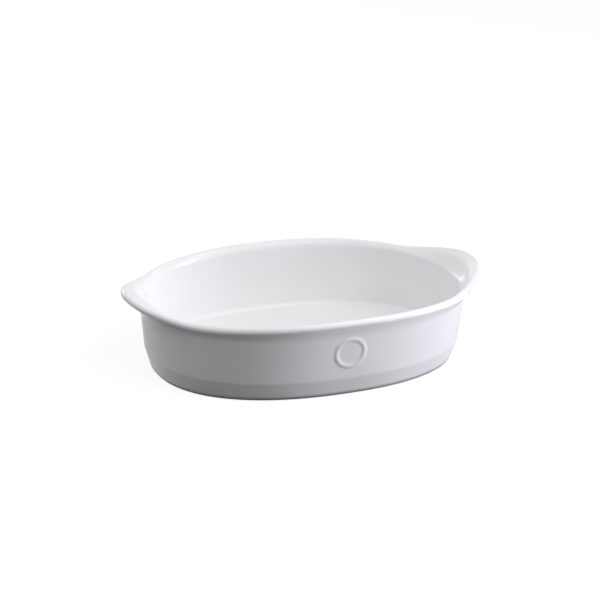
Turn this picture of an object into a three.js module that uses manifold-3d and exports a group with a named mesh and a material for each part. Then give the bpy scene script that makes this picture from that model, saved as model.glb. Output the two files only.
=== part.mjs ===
// Oval baking dish in glazed stoneware. One fired clay body carries the floor, the wall, the
// flared rim and both handles, and a coat of glaze covers it everywhere but on its foot.
// Millimetres, +Z up, X along the dish. The origin is on the table under the middle of the dish.
import * as THREE from "three";
import Module from "manifold-3d";

// Plan of the outside of the wall, at the height where the rim starts to flare: a full oval
const wallHalfLength = 120.7;
const wallHalfWidth = 85;
const ovalFullness = 2.29; // 2 is an ellipse, and more squares the oval up

// Wall and floor
const wallThickness = 4.8;
const wallDraft = 0.098; // the wall leans out this much for each millimetre that it rises
const sideSwell = 1; // the long sides lean out this much further, where the rim starts to flare
const heelHeight = 14.2; // soft edge where the wall turns in towards the foot
const heelRound = 13;
const floorTop = 8;
const floorRound = 11;

// Foot ring and the recess inside it
const footInset = 7.9; // in from the wall oval to the outer edge of the foot
const footWidth = 7;
const footRound = 1;
const recessDepth = 1.5; // from the table up to the glazed underside
const recessLean = 1.5; // the recess narrows this much on its way up

// Rim
const rimHeight = 59.1; // at the middle of the long sides
const rimDip = 4.3; // the rim falls this much from the long sides to the ends
const flareDepth = 10.5; // the outside starts to sweep out this far below the rim
const flareRound = 32;
const lipRadius = 3.1; // along the long sides, where the crest of the rim stands over the wall oval
const bandDepth = 5.8; // the level edge where the inside starts to slope out, below the rim
const bandRound = 5;
const bandBulge = 0.2; // how far the sloping band bulges

// Handles: at both ends the rim sweeps out and up into a lug
const handleReach = 16.8; // past the wall oval at the tip
const handleLipRadius = 2.4; // the lip thins to this at the tip
const handleRise = 8.2; // above the dipped rim at the tip
const handleHalfAngle = THREE.MathUtils.degToRad(39.5); // round the oval, from the tip to where it fades out
const handleFlareDepth = 3.3; // the outside starts to sweep out this much lower under the tip
const handleBulge = 2.65; // the band bulges this much more, which gives the lug a flat top
const bulgePlace = 0.65; // share of the band below its bulge
const bulgeRound = 9;

// Medallion: a plain raised ring in the middle of the front
const medallionCentre = 34.4; // above the table
const medallionRadius = 10.6;
const medallionBead = 3.2; // width of the ring's bead
const medallionRelief = 0.5;
const medallionRoot = 1; // the clay of the bead is rooted this deep in the wall

// Glaze
const glazeThickness = 0.5;
const glazeLine = 0.7; // lower edge of the glaze, above the table

// Facets: columns round the dish and round the medallion, and steps along each rounding of a section
const columns = 72;
const medallionColumns = 40;
const footSteps = 2;
const heelSteps = 2;
const flareSteps = 3;
const lipOuterSteps = 2;
const lipInnerSteps = 4;
const bulgeSteps = 2;
const bandSteps = 2;
const floorSteps = 4;
const beadSteps = 6;
const longestSetback = 0.45; // a rounding takes up at most this share of each straight beside it

const wasm = await Module();
wasm.setup();

const flatPoint = (offset, height) => new THREE.Vector2(offset, height);

// A point of the wall oval, with the direction that points straight out of it
function ovalAt(angle) {
  const across = Math.cos(angle);
  const along = Math.sin(angle);
  const power = ovalFullness - 1;
  const roundness = Math.abs(across) ** ovalFullness + Math.abs(along) ** ovalFullness;
  const stretch = roundness ** (-1 / ovalFullness);
  const slopeX = (Math.sign(across) * Math.abs(across * stretch) ** power) / wallHalfLength;
  const slopeY = (Math.sign(along) * Math.abs(along * stretch) ** power) / wallHalfWidth;
  const point = flatPoint(wallHalfLength * across * stretch, wallHalfWidth * along * stretch);
  return { point, out: flatPoint(slopeX, slopeY).normalize() };
}

// A section point, given by its offset from the wall oval and its height, in its place round the dish
function placed(angle, offset, height) {
  const { point, out } = ovalAt(angle);
  return new THREE.Vector3(point.x + out.x * offset, point.y + out.y * offset, height);
}

// 1 at the tip of a handle, fading to 0 where the handle runs out into the plain rim
function handleShare(angle) {
  const fromEnd = Math.asin(Math.min(1, Math.abs(Math.sin(angle))));
  return (1 + Math.cos(Math.PI * Math.min(1, fromEnd / handleHalfAngle))) / 2;
}

// Points along the shorter arc from start to end round a centre
function arcBetween(centre, start, end, steps) {
  const from = start.clone().sub(centre);
  const to = end.clone().sub(centre);
  const sweep = Math.atan2(from.cross(to), from.dot(to));
  const points = [];
  for (let i = 0; i <= steps; i++) {
    points.push(start.clone().rotateAround(centre, (sweep * i) / steps));
  }
  return points;
}

// The arc that rounds the corner at b, between the straights to a and to c
function roundCorner(a, b, c, radius, steps) {
  const toA = a.clone().sub(b);
  const toC = c.clone().sub(b);
  const half = toA.angleTo(toC) / 2;
  const longest = longestSetback * Math.min(toA.length(), toC.length());
  const setback = Math.min(radius / Math.tan(half), longest);
  const start = b.clone().addScaledVector(toA.normalize(), setback);
  const end = b.clone().addScaledVector(toC.normalize(), setback);
  const centre = b.clone().addScaledVector(toA.add(toC).normalize(), setback / Math.cos(half));
  return arcBetween(centre, start, end, steps);
}

// Where a straight from a point touches a circle, passing it on the left (1) or on the right (-1)
function tangentPoint(from, centre, radius, side) {
  const reach = centre.clone().sub(from);
  const turn = Math.asin(radius / reach.length());
  const length = Math.sqrt(reach.lengthSq() - radius ** 2);
  const heading = reach.angle() + side * turn;
  return flatPoint(Math.cos(heading), Math.sin(heading)).multiplyScalar(length).add(from);
}

// Offset of the straight part of the wall from the wall oval, outside and inside
const outsideOffset = (height) => (height - rimHeight + flareDepth) * wallDraft;
const insideOffset = (height) => outsideOffset(height) - wallThickness;

// The finished section at an angle round the dish: the bare foot, then the coated part up the outside,
// over the lip and down inside to the floor. The foot is drawn a coat of glaze below the table, so that
// the clay under the coat stands on the table.
function finishedSection(angle) {
  const handle = handleShare(angle);
  const rimTop = rimHeight - rimDip * Math.cos(angle) ** 2 + handleRise * handle;
  const lip = handleLipRadius + (lipRadius - handleLipRadius) * (1 - handle) ** 3;
  const swell = sideSwell * ovalAt(angle).out.y ** 2;
  const flareHeight = rimHeight - flareDepth - handleFlareDepth * handle;
  const bandHeight = rimHeight - bandDepth;

  const footInner = flatPoint(-footInset - footWidth, -glazeThickness);
  const footOuter = flatPoint(-footInset, -glazeThickness);
  const heel = flatPoint(outsideOffset(heelHeight), heelHeight);
  const flare = flatPoint(outsideOffset(flareHeight) + swell, flareHeight);
  const lipCentre = flatPoint((handleReach - handleLipRadius) * handle, rimTop - lip);
  const lipOutermost = flatPoint(lipCentre.x + lip, lipCentre.y);
  const band = flatPoint(insideOffset(bandHeight), bandHeight);
  const floorCorner = flatPoint(insideOffset(floorTop), floorTop);
  const floorMiddle = flatPoint(-wallHalfWidth, floorTop);

  const lipBottom = tangentPoint(flare, lipCentre, lip, -1);
  const bandTop = tangentPoint(band, lipCentre, lip, 1);
  const rise = bandTop.clone().sub(band).normalize().multiplyScalar(bandBulge + handleBulge * handle);
  const bulge = band.clone().lerp(bandTop, bulgePlace).add(flatPoint(-rise.y, rise.x));
  const lipTop = tangentPoint(bulge, lipCentre, lip, 1);
  const glazeShare = (glazeLine + glazeThickness) / (heelHeight + glazeThickness);

  const bare = [footInner, ...roundCorner(footInner, footOuter, heel, footRound, footSteps)];
  const coated = [
    footOuter.clone().lerp(heel, glazeShare),
    ...roundCorner(footOuter, heel, flare, heelRound, heelSteps),
    ...roundCorner(heel, flare, lipBottom, flareRound, flareSteps),
    ...arcBetween(lipCentre, lipBottom, lipOutermost, lipOuterSteps),
    ...arcBetween(lipCentre, lipOutermost, lipTop, lipInnerSteps).slice(1),
    ...roundCorner(lipTop, bulge, band, bulgeRound, bulgeSteps),
    ...roundCorner(bulge, band, floorCorner, bandRound, bandSteps),
    ...roundCorner(band, floorCorner, floorMiddle, floorRound, floorSteps),
  ];
  return { bare, coated };
}

const heading = (from, to) => to.clone().sub(from).normalize();

// The clay under a section: the same line, moved a coat of glaze into the material square to its surface
function underGlaze(points) {
  const last = points.length - 1;
  return points.map((point, i) => {
    const next = Math.min(i, last - 1);
    const previous = Math.max(i - 1, 0);
    const leaving = heading(points[next], points[next + 1]);
    const arriving = heading(points[previous], points[previous + 1]);
    const along = leaving.clone().add(arriving).normalize();
    const mitre = glazeThickness / along.dot(leaving);
    return point.clone().addScaledVector(flatPoint(-along.y, along.x), mitre);
  });
}

// The columns round the dish, each with its finished section and the clay under it
const angles = Array.from({ length: columns }, (_, i) => (2 * Math.PI * i) / columns);
const sections = angles.map((angle) => {
  const { bare, coated } = finishedSection(angle);
  const clay = underGlaze([...bare, ...coated]);
  return { coated, clayFoot: clay.slice(1, bare.length), clayCoated: clay.slice(bare.length) };
});

// The rings round the dish through one named line of every section
function ringsThrough(line) {
  const [first] = sections;
  return first[line].map((_, row) =>
    sections.map((section, i) => placed(angles[i], section[line][row].x, section[line][row].y)),
  );
}

// A solid inside a stack of rings, closed at both ends by a flat fan on the dish's axis.
// Each four-sided cell is split along its shorter diagonal, so two solids with the same rings meet.
function stackOf(rings) {
  const corners = rings.flat();
  const faces = [];
  const at = (row, column) => row * columns + (column % columns);
  for (let row = 0; row + 1 < rings.length; row++) {
    for (let column = 0; column < columns; column++) {
      const [a, b] = [at(row, column), at(row, column + 1)];
      const [d, c] = [at(row + 1, column), at(row + 1, column + 1)];
      if (corners[a].distanceTo(corners[c]) < corners[b].distanceTo(corners[d])) {
        faces.push(a, b, c, a, c, d);
      } else {
        faces.push(a, b, d, b, c, d);
      }
    }
  }
  const lastRow = rings.length - 1;
  const firstPole = corners.push(new THREE.Vector3(0, 0, rings[0][0].z)) - 1;
  const lastPole = corners.push(new THREE.Vector3(0, 0, rings[lastRow][0].z)) - 1;
  for (let column = 0; column < columns; column++) {
    faces.push(firstPole, at(0, column + 1), at(0, column));
    faces.push(lastPole, at(lastRow, column), at(lastRow, column + 1));
  }
  return solidFrom(corners, faces);
}

// Offset of the finished outside at an angle and a height, read off the section there
function outsideAt(angle, height) {
  const { coated } = finishedSection(angle);
  const above = coated.findIndex((point) => point.y > height);
  const [low, high] = [coated[above - 1], coated[above]];
  return THREE.MathUtils.mapLinear(height, low.y, high.y, low.x, high.x);
}

// The medallion's bead, laid on the outside of the wall: a ring with an arched section that springs
// from the finished surface, or from a depth below it, and with a root below that
function medallionRing(depth, width, root) {
  const profile = [flatPoint(-width / 2, -root)];
  for (let i = 0; i <= beadSteps; i++) {
    const share = i / beadSteps;
    profile.push(flatPoint((share - 1 / 2) * width, medallionRelief * Math.sin(Math.PI * share)));
  }
  profile.push(flatPoint(width / 2, -root));

  const corners = [];
  const faces = [];
  const at = (column, i) => (column % medallionColumns) * profile.length + (i % profile.length);
  for (let column = 0; column < medallionColumns; column++) {
    const turn = (2 * Math.PI * column) / medallionColumns;
    profile.forEach((point, i) => {
      const radius = medallionRadius + point.x;
      const angle = (radius * Math.cos(turn)) / wallHalfLength - Math.PI / 2;
      const height = medallionCentre + radius * Math.sin(turn);
      corners.push(placed(angle, outsideAt(angle, height) - depth + point.y, height));
      const [a, b] = [at(column, i), at(column, i + 1)];
      const [d, c] = [at(column + 1, i), at(column + 1, i + 1)];
      faces.push(a, b, c, a, c, d);
    });
  }
  return solidFrom(corners, faces);
}

function solidFrom(corners, faces) {
  const vertProperties = new Float32Array(corners.flatMap((corner) => corner.toArray()));
  return new wasm.Manifold(new wasm.Mesh({ numProp: 3, vertProperties, triVerts: new Uint32Array(faces) }));
}

function namedMesh(name, solid, material) {
  const { vertProperties, triVerts } = solid.getMesh();
  const geometry = new THREE.BufferGeometry();
  geometry.setAttribute("position", new THREE.BufferAttribute(vertProperties, 3));
  geometry.setIndex(new THREE.BufferAttribute(triVerts, 1));
  geometry.computeVertexNormals();
  const mesh = new THREE.Mesh(geometry, material);
  mesh.name = name;
  return mesh;
}

// The side of the recess in the underside, which ends at the clay above the glazed ceiling
const recessTop = recessDepth + glazeThickness;
function recessRing(height) {
  const offset = -footInset - footWidth - (recessLean * height) / recessTop;
  return angles.map((angle) => placed(angle, offset, height));
}

const clayBead = medallionRing(glazeThickness, medallionBead - glazeThickness, medallionRoot);

// Clay: from the middle of the underside round the foot, up and over the rim to the middle of the floor
function stonewareBody() {
  const underside = [recessRing(recessTop), recessRing(0)];
  return stackOf([...underside, ...ringsThrough("clayFoot"), ...ringsThrough("clayCoated")]).add(clayBead);
}

// Glaze on the inside, the rim and the outside: along the clay to the glaze line, and back on its own face
function glazeCoat() {
  const coat = stackOf([...ringsThrough("clayCoated").reverse(), ...ringsThrough("coated")]);
  return coat.add(medallionRing(0, medallionBead, glazeThickness / 2)).subtract(clayBead);
}

// Glaze on the ceiling of the recess
function undersideGlaze() {
  return stackOf([recessRing(recessDepth), recessRing(recessTop)]);
}

const dish = new THREE.Group();
dish.name = "oval_baking_dish";
dish.add(
  namedMesh(
    "stoneware_body",
    stonewareBody(),
    new THREE.MeshStandardMaterial({ color: 0xe3dacb, roughness: 0.85, metalness: 0 }),
  ),
  namedMesh(
    "glaze_coat",
    glazeCoat(),
    new THREE.MeshStandardMaterial({ color: 0xf1f1f3, roughness: 0.12, metalness: 0 }),
  ),
  namedMesh(
    "underside_glaze",
    undersideGlaze(),
    new THREE.MeshStandardMaterial({ color: 0xefeff1, roughness: 0.2, metalness: 0 }),
  ),
);

export default dish;
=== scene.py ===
import math

import bmesh
import bpy
from mathutils import Matrix, Vector


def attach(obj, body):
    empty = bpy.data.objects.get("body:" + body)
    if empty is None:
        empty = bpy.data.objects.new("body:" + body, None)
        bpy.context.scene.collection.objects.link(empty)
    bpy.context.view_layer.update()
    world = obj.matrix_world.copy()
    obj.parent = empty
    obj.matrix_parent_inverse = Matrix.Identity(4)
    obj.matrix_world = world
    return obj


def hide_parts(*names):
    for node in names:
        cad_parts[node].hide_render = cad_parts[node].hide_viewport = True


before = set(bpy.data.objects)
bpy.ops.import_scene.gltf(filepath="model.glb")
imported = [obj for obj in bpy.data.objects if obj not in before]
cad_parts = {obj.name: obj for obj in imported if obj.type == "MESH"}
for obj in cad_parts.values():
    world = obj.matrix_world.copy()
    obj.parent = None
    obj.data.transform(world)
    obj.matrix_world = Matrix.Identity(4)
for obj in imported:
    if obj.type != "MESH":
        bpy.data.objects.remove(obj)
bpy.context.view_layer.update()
mm = 0.001
print("frame loaded:", ", ".join(sorted(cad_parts)))


# plan and section of the dish, all in millimetres

plan = {
    "halfLength": 120.7, "halfWidth": 85.0,  # outside of the wall, where the rim starts to flare
    "fullness": 2.29,  # 2 is a plain ellipse
    "frontColumns": 56, "frontReach": 0.145,  # close together across the medallion, to this turn each way
    "sideColumns": 190,  # round the rest of the dish
}

wall = {
    "thickness": 4.8, "draft": 0.098,  # draft is the lean outwards for each millimetre up
    "heelHeight": 14.2, "heelRound": 13, "heelSteps": 8,
    "sideSwell": 1.0,  # the long sides lean out this much further at the flare
    "floorTop": 8, "floorRound": 3.5, "floorSteps": 12,
    "outsideRows": 48, "insideRows": 14, "floorRows": 8,
}

rim = {
    "height": 59.1, "dip": 4.3,  # the rim falls by the dip towards the ends
    "flareDepth": 10.5, "flareRound": 32, "flareSteps": 10,
    "lipRadius": 3.1, "lipOuterSteps": 8, "lipInnerSteps": 12,
    "bandDepth": 5.8, "bandRound": 5, "bandBulge": 0.2, "bandSteps": 5,
    "slopeRows": 3,
}

handles = {
    "reach": 16.8, "rise": 8.2, "halfAngle": math.radians(39.5),
    "lipRadius": 2.4, "lipFade": 3,  # the higher the fade, the sooner the lip thins towards a handle
    "flareDepth": 3.3, "bulge": 2.65, "bulgePlace": 0.65, "bulgeRound": 9, "bulgeSteps": 7,
}

foot = {
    "inset": 7.9, "width": 7, "round": 1, "roundSteps": 5, "flatRows": 2,
    "edgeSink": 0.66,  # share of the glaze's thickness that the clay's edge lies further in
    "recess": 1.5, "lean": 1.5,
    "innerRound": 0.4, "innerSteps": 3,  # where the ring turns up into the recess
    "ceilingRound": 0.3, "ceilingSteps": 2,  # where the recess turns flat
    "undersideRows": 6,
}

glaze = {"thickness": 0.5, "line": 0.7}

longestSetback = 0.45  # a rounding takes up at most this share of each straight beside it


def ovalAt(turn):  # a point of the wall oval and the way straight out of it
    along, across, power = math.cos(turn), math.sin(turn), plan["fullness"]
    stretch = (abs(along) ** power + abs(across) ** power) ** (-1 / power)
    point = Vector((plan["halfLength"] * along, plan["halfWidth"] * across)) * stretch
    slopeX = math.copysign(abs(along * stretch) ** (power - 1), along) / plan["halfLength"]
    slopeY = math.copysign(abs(across * stretch) ** (power - 1), across) / plan["halfWidth"]
    return point, Vector((slopeX, slopeY)).normalized()


def placed(turn, spot):  # offset and height of a section, in its place round the dish, in metres
    point, out = ovalAt(turn)
    flat = point + out * spot.x
    return Vector((flat.x, flat.y, spot.y)) * mm


def handleShare(turn):  # 1 at a handle's tip, 0 where it has run out into the rim
    fromEnd = math.asin(min(1, abs(math.sin(turn))))
    return (1 + math.cos(math.pi * min(1, fromEnd / handles["halfAngle"]))) / 2


def arcPoints(centre, start, end, steps):
    first, last = start - centre, end - centre
    sweep = math.atan2(first.x * last.y - first.y * last.x, first.dot(last))
    return [centre + Matrix.Rotation(sweep * i / steps, 2) @ first for i in range(steps + 1)]


def roundCorner(before, corner, after, radius, steps):
    toBefore, toAfter = (before - corner).normalized(), (after - corner).normalized()
    half = toBefore.angle(toAfter) / 2
    longest = longestSetback * min((before - corner).length, (after - corner).length)
    setback = min(radius / math.tan(half), longest)
    centre = corner + (toBefore + toAfter).normalized() * (setback / math.cos(half))
    return arcPoints(centre, corner + toBefore * setback, corner + toAfter * setback, steps)


def tangentPoint(start, centre, radius, side):  # where a straight touches the lip's circle, below or above
    reach = centre - start
    heading = math.atan2(reach.y, reach.x) + side * math.asin(radius / reach.length)
    length = math.sqrt(reach.length_squared - radius ** 2)
    return start + Vector((math.cos(heading), math.sin(heading))) * length


def between(start, end, rows):  # rows inside a straight, without its ends
    return [start.lerp(end, i / (rows + 1)) for i in range(1, rows + 1)]


def outsideOffset(height):
    return (height - rim["height"] + rim["flareDepth"]) * wall["draft"]


def insideOffset(height):
    return outsideOffset(height) - wall["thickness"]


def glazedSection(turn):  # from the glaze line up the outside, over the lip and down to the floor
    share = handleShare(turn)
    rimTop = rim["height"] - rim["dip"] * math.cos(turn) ** 2 + handles["rise"] * share
    lipGain = rim["lipRadius"] - handles["lipRadius"]
    lip = handles["lipRadius"] + lipGain * (1 - share) ** handles["lipFade"]
    swell = wall["sideSwell"] * ovalAt(turn)[1].y ** 2
    flareHeight = rim["height"] - rim["flareDepth"] - handles["flareDepth"] * share
    bandHeight = rim["height"] - rim["bandDepth"]

    footOuter = Vector((-foot["inset"], -glaze["thickness"]))
    heel = Vector((outsideOffset(wall["heelHeight"]), wall["heelHeight"]))
    flare = Vector((outsideOffset(flareHeight) + swell, flareHeight))
    lipCentre = Vector(((handles["reach"] - handles["lipRadius"]) * share, rimTop - lip))
    lipOutermost = lipCentre + Vector((lip, 0))
    band = Vector((insideOffset(bandHeight), bandHeight))
    floorCorner = Vector((insideOffset(wall["floorTop"]), wall["floorTop"]))
    floorMiddle = Vector((-plan["halfWidth"], wall["floorTop"]))

    lipBottom = tangentPoint(flare, lipCentre, lip, -1)
    bandTop = tangentPoint(band, lipCentre, lip, 1)
    slope = (bandTop - band).normalized() * (rim["bandBulge"] + handles["bulge"] * share)
    bulge = band.lerp(bandTop, handles["bulgePlace"]) + Vector((-slope.y, slope.x))
    lipTop = tangentPoint(bulge, lipCentre, lip, 1)
    glazeShare = (glaze["line"] + glaze["thickness"]) / (wall["heelHeight"] + glaze["thickness"])

    start = footOuter.lerp(heel, glazeShare)
    heelArc = roundCorner(footOuter, heel, flare, wall["heelRound"], wall["heelSteps"])
    flareArc = roundCorner(heel, flare, lipBottom, rim["flareRound"], rim["flareSteps"])
    lipArc = arcPoints(lipCentre, lipBottom, lipOutermost, rim["lipOuterSteps"])
    lipArc += arcPoints(lipCentre, lipOutermost, lipTop, rim["lipInnerSteps"])[1:]
    bulgeArc = roundCorner(lipTop, bulge, band, handles["bulgeRound"], handles["bulgeSteps"])
    bandArc = roundCorner(bulge, band, floorCorner, rim["bandRound"], rim["bandSteps"])
    floorArc = roundCorner(band, floorCorner, floorMiddle, wall["floorRound"], wall["floorSteps"])
    rows = [start] + between(start, heelArc[0], rim["slopeRows"]) + heelArc
    rows += between(heelArc[-1], flareArc[0], wall["outsideRows"]) + flareArc
    rows += between(flareArc[-1], lipArc[0], rim["slopeRows"]) + lipArc
    rows += between(lipArc[-1], bulgeArc[0], rim["slopeRows"]) + bulgeArc
    rows += between(bulgeArc[-1], bandArc[0], rim["slopeRows"]) + bandArc
    rows += between(bandArc[-1], floorArc[0], wall["insideRows"]) + floorArc
    return rows


def columnTurns():  # close together in the middle of the front, then evenly round the rest
    reach, front = plan["frontReach"], -math.pi / 2
    fine = [front + reach * (2 * i / plan["frontColumns"] - 1) for i in range(plan["frontColumns"] + 1)]
    wide = 2 * math.pi - 2 * reach
    rest = [front + reach + wide * i / plan["sideColumns"] for i in range(1, plan["sideColumns"])]
    return fine + rest


turns = columnTurns()
sections = [glazedSection(turn) for turn in turns]


# working by rings: each ring is extruded from the one before and set on the oval

def deselectAll():
    if bpy.context.object and bpy.context.object.mode != "OBJECT":
        bpy.ops.object.mode_set(mode="OBJECT")
    bpy.ops.object.select_all(action="DESELECT")


def pick(piece):
    deselectAll()
    piece.select_set(True)
    bpy.context.view_layer.objects.active = piece


def startRing(name):
    deselectAll()
    bpy.ops.mesh.primitive_circle_add(vertices=len(turns), radius=plan["halfWidth"] * mm)
    piece = bpy.context.object
    piece.name = piece.data.name = name
    bpy.ops.object.mode_set(mode="EDIT")
    bpy.ops.mesh.select_mode(type="VERT")
    bpy.ops.mesh.select_all(action="SELECT")
    mesh = bmesh.from_edit_mesh(piece.data)
    column = mesh.verts.layers.int.new("column")
    for i, vert in enumerate(mesh.verts):
        vert[column] = i
    return piece


def setRing(piece, spots):  # moves the selected ring to one spot of each column's section
    mesh = bmesh.from_edit_mesh(piece.data)
    column = mesh.verts.layers.int["column"]
    for vert in mesh.verts:
        if vert.select:
            vert.co = placed(turns[vert[column]], spots[vert[column]])
    bmesh.update_edit_mesh(piece.data)


def nextRing(piece, spots):
    bpy.ops.mesh.extrude_edges_indiv()
    setRing(piece, spots)


def closeMiddle(rows):  # rings that shrink to the middle of a flat oval, and one point there
    for i in range(rows):
        bpy.ops.mesh.extrude_edges_indiv()
        keep = (rows - i) / (rows + 1 - i)
        bpy.ops.transform.resize(value=(keep, keep, 1), center_override=(0, 0, 0))
    bpy.ops.mesh.extrude_edges_indiv()
    bpy.ops.mesh.merge(type="CENTER")


def selectOpenEdge():
    bpy.ops.mesh.select_all(action="DESELECT")
    bpy.ops.mesh.select_mode(type="EDGE")
    bpy.ops.mesh.select_non_manifold(extend=False)
    bpy.ops.mesh.select_mode(type="VERT")


def turnFacesOut():
    bpy.ops.mesh.select_all(action="SELECT")
    bpy.ops.mesh.normals_make_consistent(inside=False)


# white glaze: one sheet over the whole dish, which gets its thickness once the clay is copied from it

whiteGlaze = startRing("white_glaze")
setRing(whiteGlaze, [section[0] for section in sections])
for row in range(1, len(sections[0])):
    nextRing(whiteGlaze, [section[row] for section in sections])
closeMiddle(wall["floorRows"])
turnFacesOut()


# medallion: a plain ring raised on the front of the sheet

medallion = {
    "height": 34.4, "radius": 10.6, "bead": 3.2, "relief": 0.5, "fillet": 1.0,
    "facing": 0.8,  # the wall is raised only where its normal points forward by more than this
}


def beadHeight(distance):  # soft arched bead with a glazed fillet at its foot
    half = medallion["bead"] / 2 + medallion["fillet"]
    away = min(half, abs(distance - medallion["radius"]))
    return medallion["relief"] * (0.5 + 0.5 * math.cos(math.pi * away / half))


def raiseMedallion(piece):
    mesh = bmesh.from_edit_mesh(piece.data)
    mesh.normal_update()
    column = mesh.verts.layers.int["column"]
    sideHeight = rim["height"] - rim["flareDepth"] - wall["heelHeight"]
    frontDraft = wall["draft"] + wall["sideSwell"] / sideHeight
    lean = math.sqrt(1 + frontDraft ** 2)
    for vert in mesh.verts:
        across = (turns[vert[column]] + math.pi / 2) * plan["halfLength"]
        up = (vert.co.z / mm - medallion["height"]) * lean
        if vert.co.y < 0 and vert.normal.y < -medallion["facing"]:
            vert.co += vert.normal * beadHeight(math.hypot(across, up)) * mm
    bmesh.update_edit_mesh(piece.data)


raiseMedallion(whiteGlaze)
deselectAll()
print("glaze sheet:", len(whiteGlaze.data.polygons), "faces")


# stoneware: the sheet again, sunk by the glaze, with the bare foot and the underside added

pick(whiteGlaze)
bpy.ops.object.duplicate()
stoneware = bpy.context.object
stoneware.name = stoneware.data.name = "stoneware"
bpy.ops.object.mode_set(mode="EDIT")
bpy.ops.mesh.select_all(action="SELECT")
bpy.ops.transform.shrink_fatten(value=-glaze["thickness"] * mm, use_even_offset=True)
selectOpenEdge()


def footRows():  # round the clay's own foot ring and up into the recess
    outer = Vector((-foot["inset"] - glaze["thickness"] * foot["edgeSink"], 0))
    heel = Vector((outsideOffset(wall["heelHeight"]) - glaze["thickness"], wall["heelHeight"]))
    inner = Vector((-foot["inset"] - foot["width"], 0))
    recessTop = foot["recess"] + glaze["thickness"]
    ceiling = Vector((inner.x - foot["lean"], recessTop))
    middle = Vector((-plan["halfWidth"], recessTop))
    rows = roundCorner(heel, outer, inner, foot["round"], foot["roundSteps"])
    rows += between(rows[-1], inner, foot["flatRows"])
    rows += roundCorner(outer, inner, ceiling, foot["innerRound"], foot["innerSteps"])
    rows += roundCorner(inner, ceiling, middle, foot["ceilingRound"], foot["ceilingSteps"])
    return rows


for spot in footRows():
    nextRing(stoneware, [spot] * len(turns))
closeMiddle(foot["undersideRows"])
turnFacesOut()
deselectAll()
print("stoneware:", len(stoneware.data.polygons), "faces")

thickness = whiteGlaze.modifiers.new("thickness", "SOLIDIFY")
thickness.thickness = glaze["thickness"] * mm
thickness.offset = -1
thickness.use_even_offset = True
pick(whiteGlaze)
bpy.ops.object.modifier_apply(modifier=thickness.name)
print("glaze with its thickness:", len(whiteGlaze.data.polygons), "faces")


# underside glaze: a thin oval pool in the recess, rounded where it meets the foot

pool = {
    "edge": ((1.0, 2.0), (0.88, 1.76), (0.93, 1.6), (1.15, 1.52), (1.6, 1.5)),  # share of the lean, height
}

recessEdge = -foot["inset"] - foot["width"]
poolSpots = [Vector((recessEdge - foot["lean"] * share, height)) for share, height in pool["edge"]]
undersideGlaze = startRing("underside_pool")
setRing(undersideGlaze, [poolSpots[0]] * len(turns))
for spot in poolSpots[1:]:
    nextRing(undersideGlaze, [spot] * len(turns))
closeMiddle(foot["undersideRows"])
selectOpenEdge()
closeMiddle(foot["undersideRows"])
turnFacesOut()
deselectAll()
print("underside glaze:", len(undersideGlaze.data.polygons), "faces")

for piece in (whiteGlaze, stoneware, undersideGlaze):
    pick(piece)
    bpy.ops.object.shade_smooth()
    piece.data.attributes.remove(piece.data.attributes["column"])


# materials

def newMaterial(name):
    material = bpy.data.materials.new(name)
    material.use_nodes = True
    tree = material.node_tree
    return material, tree, tree.nodes["Principled BSDF"]


def plug(tree, value, socket):  # links an output, or sets a plain value
    if hasattr(value, "is_output"):
        tree.links.new(value, socket)
    else:
        socket.default_value = value


def addNode(tree, kind, inputs=None, **settings):
    node = tree.nodes.new("ShaderNode" + kind)
    for key, value in settings.items():
        setattr(node, key, value)
    for key, value in (inputs or {}).items():
        plug(tree, value, node.inputs[key])
    return node


def noiseOn(tree, place, scale, detail=2.0, roughness=0.5):
    inputs = {"Vector": place, "Scale": scale, "Detail": detail, "Roughness": roughness}
    return addNode(tree, "TexNoise", inputs).outputs["Fac"]


def cellsOn(tree, place, scale):
    return addNode(tree, "TexVoronoi", {"Vector": place, "Scale": scale, "Randomness": 1.0})


def spread(tree, value, source, target):  # from one range of values to another
    inputs = {"Value": value, "From Min": source[0], "From Max": source[1]}
    inputs.update({"To Min": target[0], "To Max": target[1]})
    return addNode(tree, "MapRange", inputs).outputs["Result"]


def blendColour(tree, share, first, second):  # inputs 6 and 7 and output 2 are the colours of this node
    return addNode(tree, "Mix", {"Factor": share, 6: first, 7: second}, data_type="RGBA").outputs[2]


glazeLook = {
    "milk": (0.92, 0.92, 0.92, 1), "thin": (0.90, 0.897, 0.893, 1),
    "cloudScale": 22, "cloudRange": (0.35, 0.7),
    "speck": (0.42, 0.38, 0.33, 1), "speckScale": 95, "speckSize": (0.035, 0.065),
    "speckRarity": (0.975, 0.98), "speckStrength": 0.4,
    "sheenScale": 66, "sheenRange": (0.3, 0.7), "roughness": (0.13, 0.2),
    "facingRange": (0.4, 0.85), "mirror": (0.4, 0.03),  # seen square on, and at a glancing edge
    "waveScale": 34, "waveHeight": 0.00030,
    "peelScale": 420, "peelHeight": 0.00004,
}


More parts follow.
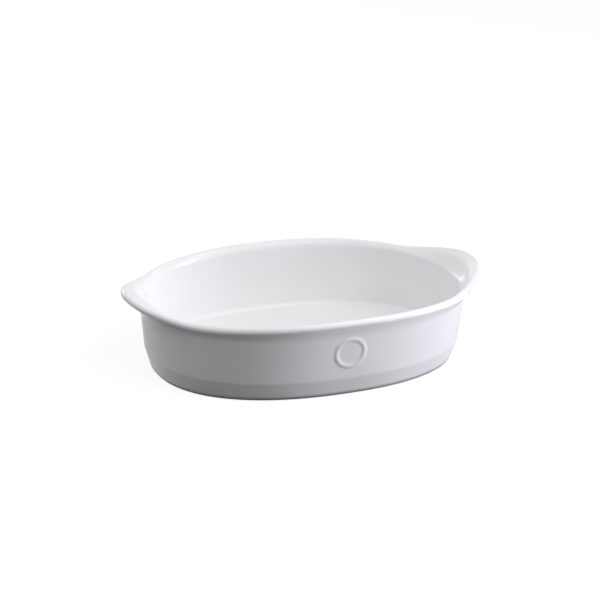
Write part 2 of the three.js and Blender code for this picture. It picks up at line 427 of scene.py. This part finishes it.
def makeGlaze(name, look):
    material, tree, shader = newMaterial(name)
    place = addNode(tree, "TexCoord").outputs["Object"]
    cloud = noiseOn(tree, place, look["cloudScale"], detail=3.0)
    tone = blendColour(tree, spread(tree, cloud, look["cloudRange"], (0, 1)), look["milk"], look["thin"])
    cells = cellsOn(tree, place, look["speckScale"])
    dot = spread(tree, cells.outputs["Distance"], look["speckSize"], (1, 0))
    chosen = addNode(tree, "SeparateColor", {"Color": cells.outputs["Color"]}).outputs["Red"]
    rare = spread(tree, chosen, look["speckRarity"], (0, look["speckStrength"]))
    specks = addNode(tree, "Math", {0: dot, 1: rare}, operation="MULTIPLY").outputs["Value"]
    plug(tree, blendColour(tree, specks, tone, look["speck"]), shader.inputs["Base Color"])
    sheen = noiseOn(tree, place, look["sheenScale"])
    plug(tree, spread(tree, sheen, look["sheenRange"], look["roughness"]), shader.inputs["Roughness"])
    wave = noiseOn(tree, place, look["waveScale"], detail=1.0)
    peel = noiseOn(tree, place, look["peelScale"], detail=1.0)
    rolling = addNode(tree, "Bump", {"Height": wave, "Strength": 1.0, "Distance": look["waveHeight"]})
    skin = {"Height": peel, "Strength": 1.0, "Distance": look["peelHeight"]}
    skin["Normal"] = rolling.outputs["Normal"]
    plug(tree, addNode(tree, "Bump", skin).outputs["Normal"], shader.inputs["Normal"])
    facing = addNode(tree, "LayerWeight", {"Blend": 0.5}).outputs["Facing"]
    mirror = spread(tree, facing, look["facingRange"], look["mirror"])
    plug(tree, mirror, shader.inputs["Specular IOR Level"])
    return material


clayLook = {
    "pale": (0.77, 0.70, 0.60, 1), "dark": (0.62, 0.54, 0.44, 1),
    "grainScale": 260, "grainRange": (0.35, 0.72), "grainStrength": 0.6, "grainHeight": 0.00025,
    "grog": (0.34, 0.27, 0.2, 1), "grogScale": 420, "grogSize": (0.08, 0.2), "grogStrength": 0.5,
    "roughRange": (0.3, 0.7), "roughness": (0.78, 0.92),
}


def makeClay(name, look):
    material, tree, shader = newMaterial(name)
    place = addNode(tree, "TexCoord").outputs["Object"]
    grain = noiseOn(tree, place, look["grainScale"], detail=5.0, roughness=0.65)
    tone = blendColour(tree, spread(tree, grain, look["grainRange"], (0, 1)), look["pale"], look["dark"])
    cells = cellsOn(tree, place, look["grogScale"])
    dot = spread(tree, cells.outputs["Distance"], look["grogSize"], (look["grogStrength"], 0))
    plug(tree, blendColour(tree, dot, tone, look["grog"]), shader.inputs["Base Color"])
    plug(tree, spread(tree, grain, look["roughRange"], look["roughness"]), shader.inputs["Roughness"])
    tooth = {"Height": grain, "Strength": look["grainStrength"], "Distance": look["grainHeight"]}
    plug(tree, addNode(tree, "Bump", tooth).outputs["Normal"], shader.inputs["Normal"])
    return material


undersideLook = dict(
    glazeLook, milk=(0.80, 0.80, 0.80, 1), thin=(0.74, 0.725, 0.70, 1), roughness=(0.14, 0.26),
)

finishes = (
    (whiteGlaze, "glaze_coat", "white_glaze", makeGlaze("white glaze", glazeLook)),
    (stoneware, "stoneware_body", "stoneware", makeClay("bare stoneware", clayLook)),
    (undersideGlaze, "underside_glaze", "underside_glaze", makeGlaze("underside glaze", undersideLook)),
)
for piece, node, slot, material in finishes:
    piece.data.materials.clear()
    piece.data.materials.append(material)
    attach(piece, "root")
    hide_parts(node)
print("materials on", len(finishes), "pieces")


# floor and white surround

stage = {
    "size": 8,  # metres
    "gap": 0.05,  # millimetres from the foot down to the floor
    "shade": 0.22, "glow": 0.86,  # the floor as it is seen
    "bounce": 0.1,  # and as it lights the dish
    "surround": 1.0, "ambient": 0.0,  # the world as it is seen, and as it lights the dish
}


def grey(level):
    return (level, level, level, 1)


def seenDirectly(tree):  # camera, glossy and transmission rays see the white, the rest see plain light
    rays = addNode(tree, "LightPath").outputs
    seen = rays["Is Camera Ray"]
    for ray in ("Is Glossy Ray", "Is Transmission Ray"):
        seen = addNode(tree, "Math", {0: seen, 1: rays[ray]}, operation="MAXIMUM").outputs["Value"]
    return seen


deselectAll()
bpy.ops.mesh.primitive_plane_add(size=stage["size"], location=(0, 0, -stage["gap"] * mm))
floor = bpy.context.object
floor.name = "floor"
floorMaterial, floorTree, floorShader = newMaterial("pale floor")
floorTree.nodes.remove(floorShader)
shadow = addNode(floorTree, "BsdfDiffuse", {"Color": grey(stage["shade"])})
glow = addNode(floorTree, "Emission", {"Color": grey(1), "Strength": stage["glow"]})
pale = addNode(floorTree, "AddShader", {0: shadow.outputs["BSDF"], 1: glow.outputs["Emission"]})
bounce = addNode(floorTree, "BsdfDiffuse", {"Color": grey(stage["bounce"])})
looks = {0: seenDirectly(floorTree), 1: bounce.outputs["BSDF"], 2: pale.outputs["Shader"]}
choice = addNode(floorTree, "MixShader", looks)
plug(floorTree, choice.outputs["Shader"], floorTree.nodes["Material Output"].inputs["Surface"])
floor.data.materials.append(floorMaterial)

world = bpy.data.worlds.new("white surround")
world.use_nodes = True
bpy.context.scene.world = world
worldTree = world.node_tree
sky = worldTree.nodes["Background"]
brightness = spread(worldTree, seenDirectly(worldTree), (0, 1), (stage["ambient"], stage["surround"]))
plug(worldTree, brightness, sky.inputs["Strength"])
plug(worldTree, grey(1), sky.inputs["Color"])
print("floor and surround")


# lamps: softboxes round the dish, in metres, with the aim in millimetres and the angles in degrees

lamps = {
    "right low": {"azimuth": 330, "elevation": 12, "distance": 0.6, "aim": (-70, -80, 30),
                  "size": (0.2, 0.24), "spread": 40, "power": 0.185, "tint": (0.88, 0.88, 1)},
    "front high": {"azimuth": 308, "elevation": 45, "distance": 3.0, "aim": (0, 0, 30),
                   "size": (3.0, 3.0), "spread": 180, "power": 65, "tint": (0.985, 0.975, 1)},
    "left high": {"azimuth": 172, "elevation": 56, "distance": 1.6, "aim": (0, 0, 30),
                  "size": (1.8, 1.8), "spread": 180, "power": 11, "tint": (1, 0.94, 0.99)},
    "left low": {"azimuth": 164, "elevation": 20, "distance": 1.6, "aim": (0, 0, 30),
                 "size": (1.1, 0.8), "spread": 180, "power": 3.8, "tint": (0.92, 0.94, 1)},
    "back high": {"azimuth": 52, "elevation": 50, "distance": 1.6, "aim": (0, 0, 30),
                  "size": (0.9, 0.9), "spread": 180, "power": 3.2, "tint": (0.97, 1, 0.97)},
    "back low": {"azimuth": 100, "elevation": 12, "distance": 1.6, "aim": (0, 0, 30),
                 "size": (0.9, 0.3), "spread": 180, "power": 2.8, "tint": (1, 1, 1)},
}


def addLamp(name, lamp):
    turn, tilt = math.radians(lamp["azimuth"]), math.radians(lamp["elevation"])
    outward = Vector((math.cos(turn) * math.cos(tilt), math.sin(turn) * math.cos(tilt), math.sin(tilt)))
    place = outward * lamp["distance"]
    data = bpy.data.lights.new(name, "AREA")
    data.shape = "RECTANGLE"
    data.size, data.size_y = lamp["size"]
    data.spread = math.radians(lamp["spread"])
    data.energy = lamp["power"]
    data.color = lamp["tint"]
    item = bpy.data.objects.new(name, data)
    facing = (Vector(lamp["aim"]) * mm - place).to_track_quat("-Z", "Y")
    item.matrix_world = Matrix.Translation(place) @ facing.to_matrix().to_4x4()
    bpy.context.scene.collection.objects.link(item)


for name, lamp in lamps.items():
    addLamp(name, lamp)
print("lamps:", ", ".join(lamps))


# camera, at the photograph's viewing angle

shot = {
    "azimuth": math.radians(-23.733), "elevation": math.radians(21.079), "roll": math.radians(1.953),
    "distance": 1474.794, "aim": 27.5, "right": -1.712, "up": 13.905,  # millimetres
    "focal": 2015.307, "picture": 600, "nudge": 0.5,  # pixels, with the nudge to the right and down
    "sensor": 36,
    "clip": (0.05, 30),  # metres
}


def addCamera():
    turn, tilt, roll = shot["azimuth"], shot["elevation"], shot["roll"]
    back = Vector((math.sin(turn) * math.cos(tilt), -math.cos(turn) * math.cos(tilt), math.sin(tilt)))
    level = Vector((math.cos(turn), math.sin(turn), 0))
    upright = back.cross(level)
    right = level * math.cos(roll) + upright * math.sin(roll)
    up = upright * math.cos(roll) - level * math.sin(roll)
    target = Vector((0, 0, shot["aim"])) + right * shot["right"] + up * shot["up"]
    place = (target + back * shot["distance"]) * mm
    data = bpy.data.cameras.new("photo view")
    data.sensor_width = shot["sensor"]
    data.lens = shot["sensor"] * shot["focal"] / shot["picture"]
    data.shift_x = -shot["nudge"] / shot["picture"]
    data.shift_y = shot["nudge"] / shot["picture"]
    data.clip_start, data.clip_end = shot["clip"]
    item = bpy.data.objects.new("photo view", data)
    item.matrix_world = Matrix.Translation(place) @ Matrix((right, up, back)).transposed().to_4x4()
    bpy.context.scene.collection.objects.link(item)
    bpy.context.scene.camera = item


addCamera()
bpy.context.scene.view_settings.view_transform = "Standard"
print("camera at the photograph's angle")
